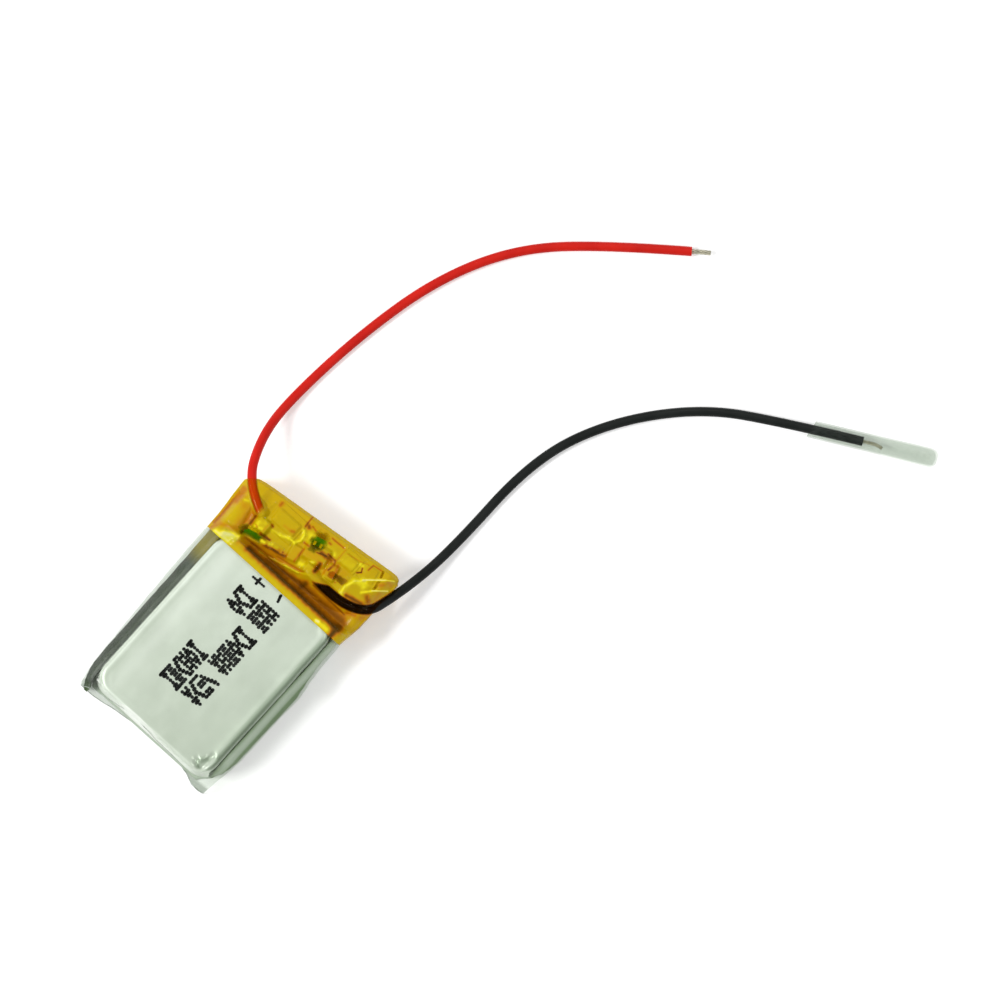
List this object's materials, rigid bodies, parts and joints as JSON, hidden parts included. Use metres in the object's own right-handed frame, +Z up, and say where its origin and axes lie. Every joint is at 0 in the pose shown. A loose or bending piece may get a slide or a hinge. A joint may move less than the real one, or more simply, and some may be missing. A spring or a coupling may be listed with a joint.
{
  "type": "lipo battery pack",
  "caption": "Small single-cell pouch battery pack in a clear sleeve, its protection board under amber tape at one end, with two bare-ended leads and a slip-off insulating cap.",
  "frame": {"origin": "bottom centre of the pack's bounding box, leads left out", "axes": "X across the pack's width, +Y along it to the end the leads leave, +Z up out of the flat top face"},
  "size_m": [0.0497, 0.0704, 0.0065],
  "materials": {
    "laminate": "satin embossed laminate",
    "seal_film": "translucent film",
    "cathode": "coated foil",
    "anode": "coated copper foil",
    "separator": "matte film",
    "green_tape": "gloss tape",
    "aluminium_tab": "satin strip",
    "nickel_tab": "satin strip",
    "foam": "closed-cell foam",
    "paper": "fibre paper",
    "board": "green solder mask",
    "tin": "tinned",
    "chip_black": "moulded epoxy",
    "resistor": "glazed ceramic",
    "capacitor": "ceramic",
    "solder": "solder",
    "amber_tape": "amber polyimide film",
    "clear_film": "clear film",
    "red_silicone": "smooth sleeve",
    "black_silicone": "smooth sleeve",
    "cap_silicone": "translucent"
  },
  "bodies": {
    "pack": {"pouch_cup": "laminate", "pouch_back": "laminate", "terrace_seal": "seal_film", "cathode_foil": "cathode", "anode_foil": "anode", "separator_films": "separator", "winding_tape": "green_tape", "positive_tab": "aluminium_tab", "negative_tab": "nickel_tab", "terrace_tape": "green_tape", "foam_spacer": "foam", "board_insulator": "paper", "circuit_board": "board", "board_pads": "tin", "protection_chip": "chip_black", "protection_chip_pins": "tin", "mosfet_chip": "chip_black", "mosfet_chip_pins": "tin", "chip_resistors": "resistor", "chip_capacitors": "capacitor", "tab_solder": "solder", "lead_solder": "solder", "outer_tape": "amber_tape", "clear_sleeve": "clear_film", "red_lead_insulation": "red_silicone", "red_lead_conductor": "tin", "black_lead_insulation": "black_silicone", "black_lead_conductor": "tin"},
    "cap": {"end_cap": "cap_silicone"}
  },
  "joints": [
    {"name": "cap_slide", "type": "slide", "parent": "pack", "child": "cap", "axis": [0.8797, 0.4756, 0], "range_m": [0, 0.01]}
  ]
}
